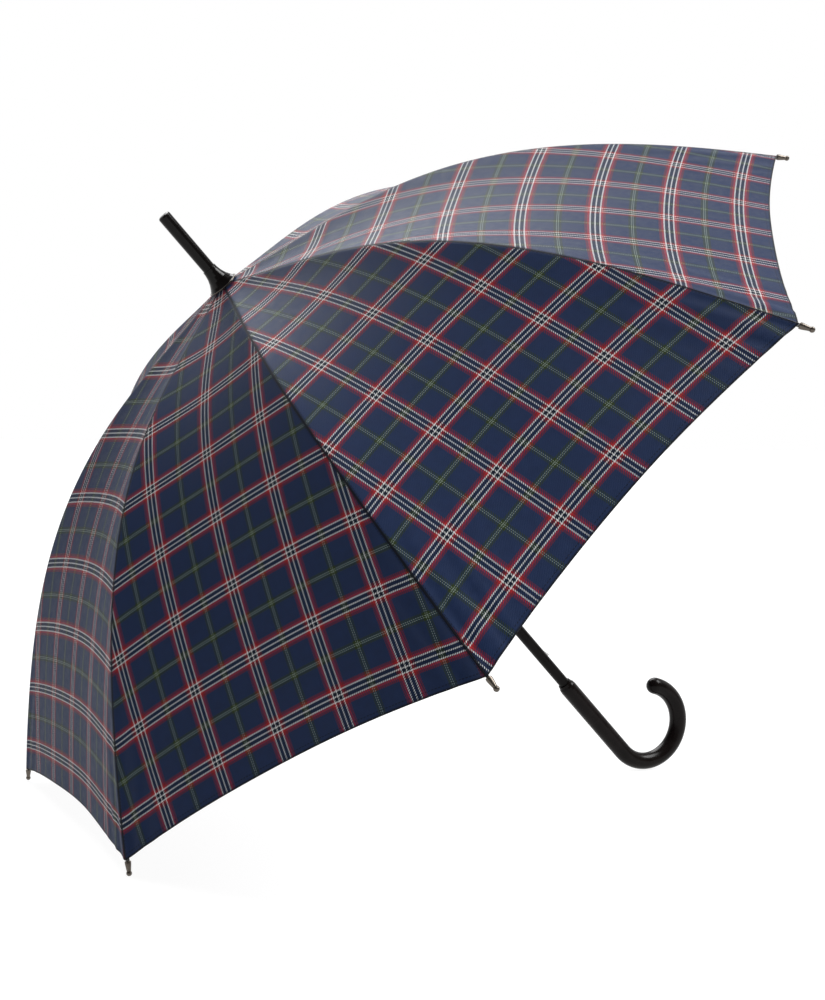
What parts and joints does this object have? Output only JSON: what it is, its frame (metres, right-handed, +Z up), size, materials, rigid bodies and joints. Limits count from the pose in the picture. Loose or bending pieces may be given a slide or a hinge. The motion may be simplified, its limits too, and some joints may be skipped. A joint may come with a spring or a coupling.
{
  "type": "stick umbrella",
  "caption": "Open stick umbrella with a tartan dome canopy on hinged ribs and struts, a sliding runner, a long ferrule and a black crook handle.",
  "frame": {"origin": "on the floor, under the centre of the overall box, with the open umbrella lying on two rib tips and its crook", "axes": "+Z up; +X along the floor from the ferrule end to the crook end; +Y across, the longest way"},
  "size_m": [0.7582, 0.987, 0.696],
  "materials": {
    "tartan_cloth": "fine twill, printed tartan",
    "black_satin": "satin",
    "black_gloss": "gloss",
    "grip_black": "satin gloss",
    "dark_plastic": "matte",
    "bronze": "dark plated",
    "rib_steel": "blackened",
    "steel_wire": "bright"
  },
  "bodies": {
    "frame": {"shaft": "black_satin", "ferrule": "black_gloss", "ferrule_cap": "black_gloss", "cap_ring": "bronze", "crown": "dark_plastic", "crown_wire": "steel_wire", "top_catch": "steel_wire", "bottom_catch": "steel_wire", "handle": "grip_black", "handle_collar": "dark_plastic", "gore_1": "tartan_cloth", "gore_2": "tartan_cloth", "gore_3": "tartan_cloth", "gore_4": "tartan_cloth", "gore_5": "tartan_cloth", "gore_6": "tartan_cloth", "gore_7": "tartan_cloth", "gore_8": "tartan_cloth"},
    "slider": {"runner": "dark_plastic", "runner_wire": "steel_wire"},
    "inner_rib_1": {"rib_1": "rib_steel", "pin_1": "steel_wire"},
    "inner_rib_2": {"rib_2": "rib_steel", "pin_2": "steel_wire"},
    "inner_rib_3": {"rib_3": "rib_steel", "pin_3": "steel_wire"},
    "inner_rib_4": {"rib_4": "rib_steel", "pin_4": "steel_wire"},
    "inner_rib_5": {"rib_5": "rib_steel", "pin_5": "steel_wire"},
    "inner_rib_6": {"rib_6": "rib_steel", "pin_6": "steel_wire"},
    "inner_rib_7": {"rib_7": "rib_steel", "pin_7": "steel_wire"},
    "inner_rib_8": {"rib_8": "rib_steel", "pin_8": "steel_wire"},
    "outer_rib_1": {"rib_end_1": "rib_steel", "tip_1": "bronze"},
    "outer_rib_2": {"rib_end_2": "rib_steel", "tip_2": "bronze"},
    "outer_rib_3": {"rib_end_3": "rib_steel", "tip_3": "bronze"},
    "outer_rib_4": {"rib_end_4": "rib_steel", "tip_4": "bronze"},
    "outer_rib_5": {"rib_end_5": "rib_steel", "tip_5": "bronze"},
    "outer_rib_6": {"rib_end_6": "rib_steel", "tip_6": "bronze"},
    "outer_rib_7": {"rib_end_7": "rib_steel", "tip_7": "bronze"},
    "outer_rib_8": {"rib_end_8": "rib_steel", "tip_8": "bronze"},
    "strut_1": {"stretcher_1": "rib_steel"},
    "strut_2": {"stretcher_2": "rib_steel"},
    "strut_3": {"stretcher_3": "rib_steel"},
    "strut_4": {"stretcher_4": "rib_steel"},
    "strut_5": {"stretcher_5": "rib_steel"},
    "strut_6": {"stretcher_6": "rib_steel"},
    "strut_7": {"stretcher_7": "rib_steel"},
    "strut_8": {"stretcher_8": "rib_steel"}
  },
  "joints": [
    {"name": "runner_slide", "type": "slide", "parent": "frame", "child": "slider", "axis": [0.6972, 0, -0.7169], "range_m": [0, 0.3988], "deforming": ["gore_1", "gore_2", "gore_3", "gore_4", "gore_5", "gore_6", "gore_7", "gore_8", "top_catch", "bottom_catch"]},
    {"name": "rib_hinge_1", "type": "hinge", "parent": "frame", "child": "inner_rib_1", "pos_m": [-0.20583, 0.00459, 0.55006], "axis": [-0.2743, 0.9239, -0.2668], "range_deg": [0, 73.83]},
    {"name": "rib_hinge_2", "type": "hinge", "parent": "frame", "child": "inner_rib_2", "pos_m": [-0.21049, 0.01109, 0.54553], "axis": [-0.6623, 0.3827, -0.6441], "range_deg": [0, 73.83]},
    {"name": "rib_hinge_3", "type": "hinge", "parent": "frame", "child": "inner_rib_3", "pos_m": [-0.21707, 0.01109, 0.53912], "axis": [-0.6623, -0.3827, -0.6441], "range_deg": [0, 73.83]},
    {"name": "rib_hinge_4", "type": "hinge", "parent": "frame", "child": "inner_rib_4", "pos_m": [-0.22173, 0.00459, 0.5346], "axis": [-0.2743, -0.9239, -0.2668], "range_deg": [0, 73.83]},
    {"name": "rib_hinge_5", "type": "hinge", "parent": "frame", "child": "inner_rib_5", "pos_m": [-0.22173, -0.00459, 0.5346], "axis": [0.2743, -0.9239, 0.2668], "range_deg": [0, 73.83]},
    {"name": "rib_hinge_6", "type": "hinge", "parent": "frame", "child": "inner_rib_6", "pos_m": [-0.21707, -0.01109, 0.53912], "axis": [0.6623, -0.3827, 0.6441], "range_deg": [0, 73.83]},
    {"name": "rib_hinge_7", "type": "hinge", "parent": "frame", "child": "inner_rib_7", "pos_m": [-0.21049, -0.01109, 0.54553], "axis": [0.6623, 0.3827, 0.6441], "range_deg": [0, 73.83]},
    {"name": "rib_hinge_8", "type": "hinge", "parent": "frame", "child": "inner_rib_8", "pos_m": [-0.20583, -0.00459, 0.55006], "axis": [0.2743, 0.9239, 0.2668], "range_deg": [0, 73.83]},
    {"name": "rib_flex_1", "type": "hinge", "parent": "inner_rib_1", "child": "outer_rib_1", "pos_m": [0.01263, 0.10353, 0.66802], "axis": [0.2743, -0.9239, 0.2668], "range_deg": [0, 21.47]},
    {"name": "rib_flex_2", "type": "hinge", "parent": "inner_rib_2", "child": "outer_rib_2", "pos_m": [-0.09233, 0.24994, 0.56594], "axis": [0.6623, -0.3827, 0.6441], "range_deg": [0, 21.47]},
    {"name": "rib_flex_3", "type": "hinge", "parent": "inner_rib_3", "child": "outer_rib_3", "pos_m": [-0.24076, 0.24994, 0.42158], "axis": [0.6623, 0.3827, 0.6441], "range_deg": [0, 21.47]},
    {"name": "rib_flex_4", "type": "hinge", "parent": "inner_rib_4", "child": "outer_rib_4", "pos_m": [-0.34572, 0.10353, 0.3195], "axis": [0.2743, 0.9239, 0.2668], "range_deg": [0, 21.47]},
    {"name": "rib_flex_5", "type": "hinge", "parent": "inner_rib_5", "child": "outer_rib_5", "pos_m": [-0.34572, -0.10353, 0.3195], "axis": [-0.2743, 0.9239, -0.2668], "range_deg": [0, 21.47]},
    {"name": "rib_flex_6", "type": "hinge", "parent": "inner_rib_6", "child": "outer_rib_6", "pos_m": [-0.24076, -0.24994, 0.42158], "axis": [-0.6623, 0.3827, -0.6441], "range_deg": [0, 21.47]},
    {"name": "rib_flex_7", "type": "hinge", "parent": "inner_rib_7", "child": "outer_rib_7", "pos_m": [-0.09233, -0.24994, 0.56594], "axis": [-0.6623, -0.3827, -0.6441], "range_deg": [0, 21.47]},
    {"name": "rib_flex_8", "type": "hinge", "parent": "inner_rib_8", "child": "outer_rib_8", "pos_m": [0.01263, -0.10353, 0.66802], "axis": [-0.2743, -0.9239, -0.2668], "range_deg": [0, 21.47]},
    {"name": "strut_hinge_1", "type": "hinge", "parent": "inner_rib_1", "child": "strut_1", "pos_m": [0.01263, 0.10353, 0.66802], "axis": [0.2743, -0.9239, 0.2668], "range_deg": [0, 147.64]},
    {"name": "strut_hinge_2", "type": "hinge", "parent": "inner_rib_2", "child": "strut_2", "pos_m": [-0.09233, 0.24994, 0.56594], "axis": [0.6623, -0.3827, 0.6441], "range_deg": [0, 147.64]},
    {"name": "strut_hinge_3", "type": "hinge", "parent": "inner_rib_3", "child": "strut_3", "pos_m": [-0.24076, 0.24994, 0.42158], "axis": [0.6623, 0.3827, 0.6441], "range_deg": [0, 147.64]},
    {"name": "strut_hinge_4", "type": "hinge", "parent": "inner_rib_4", "child": "strut_4", "pos_m": [-0.34572, 0.10353, 0.3195], "axis": [0.2743, 0.9239, 0.2668], "range_deg": [0, 147.64]},
    {"name": "strut_hinge_5", "type": "hinge", "parent": "inner_rib_5", "child": "strut_5", "pos_m": [-0.34572, -0.10353, 0.3195], "axis": [-0.2743, 0.9239, -0.2668], "range_deg": [0, 147.64]},
    {"name": "strut_hinge_6", "type": "hinge", "parent": "inner_rib_6", "child": "strut_6", "pos_m": [-0.24076, -0.24994, 0.42158], "axis": [-0.6623, 0.3827, -0.6441], "range_deg": [0, 147.64]},
    {"name": "strut_hinge_7", "type": "hinge", "parent": "inner_rib_7", "child": "strut_7", "pos_m": [-0.09233, -0.24994, 0.56594], "axis": [-0.6623, -0.3827, -0.6441], "range_deg": [0, 147.64]},
    {"name": "strut_hinge_8", "type": "hinge", "parent": "inner_rib_8", "child": "strut_8", "pos_m": [0.01263, -0.10353, 0.66802], "axis": [-0.2743, -0.9239, -0.2668], "range_deg": [0, 147.64]}
  ],
  "couplings": [
    {"joint": "rib_hinge_1", "follows": "runner_slide", "rad_per_m": 3.2305},
    {"joint": "rib_hinge_2", "follows": "runner_slide", "rad_per_m": 3.2305},
    {"joint": "rib_hinge_3", "follows": "runner_slide", "rad_per_m": 3.2305},
    {"joint": "rib_hinge_4", "follows": "runner_slide", "rad_per_m": 3.2305},
    {"joint": "rib_hinge_5", "follows": "runner_slide", "rad_per_m": 3.2305},
    {"joint": "rib_hinge_6", "follows": "runner_slide", "rad_per_m": 3.2305},
    {"joint": "rib_hinge_7", "follows": "runner_slide", "rad_per_m": 3.2305},
    {"joint": "rib_hinge_8", "follows": "runner_slide", "rad_per_m": 3.2305},
    {"joint": "rib_flex_1", "follows": "runner_slide", "rad_per_m": 0.9393},
    {"joint": "rib_flex_2", "follows": "runner_slide", "rad_per_m": 0.9393},
    {"joint": "rib_flex_3", "follows": "runner_slide", "rad_per_m": 0.9393},
    {"joint": "rib_flex_4", "follows": "runner_slide", "rad_per_m": 0.9393},
    {"joint": "rib_flex_5", "follows": "runner_slide", "rad_per_m": 0.9393},
    {"joint": "rib_flex_6", "follows": "runner_slide", "rad_per_m": 0.9393},
    {"joint": "rib_flex_7", "follows": "runner_slide", "rad_per_m": 0.9393},
    {"joint": "rib_flex_8", "follows": "runner_slide", "rad_per_m": 0.9393},
    {"joint": "strut_hinge_1", "follows": "runner_slide", "rad_per_m": 6.461},
    {"joint": "strut_hinge_2", "follows": "runner_slide", "rad_per_m": 6.461},
    {"joint": "strut_hinge_3", "follows": "runner_slide", "rad_per_m": 6.461},
    {"joint": "strut_hinge_4", "follows": "runner_slide", "rad_per_m": 6.461},
    {"joint": "strut_hinge_5", "follows": "runner_slide", "rad_per_m": 6.461},
    {"joint": "strut_hinge_6", "follows": "runner_slide", "rad_per_m": 6.461},
    {"joint": "strut_hinge_7", "follows": "runner_slide", "rad_per_m": 6.461},
    {"joint": "strut_hinge_8", "follows": "runner_slide", "rad_per_m": 6.461}
  ]
}
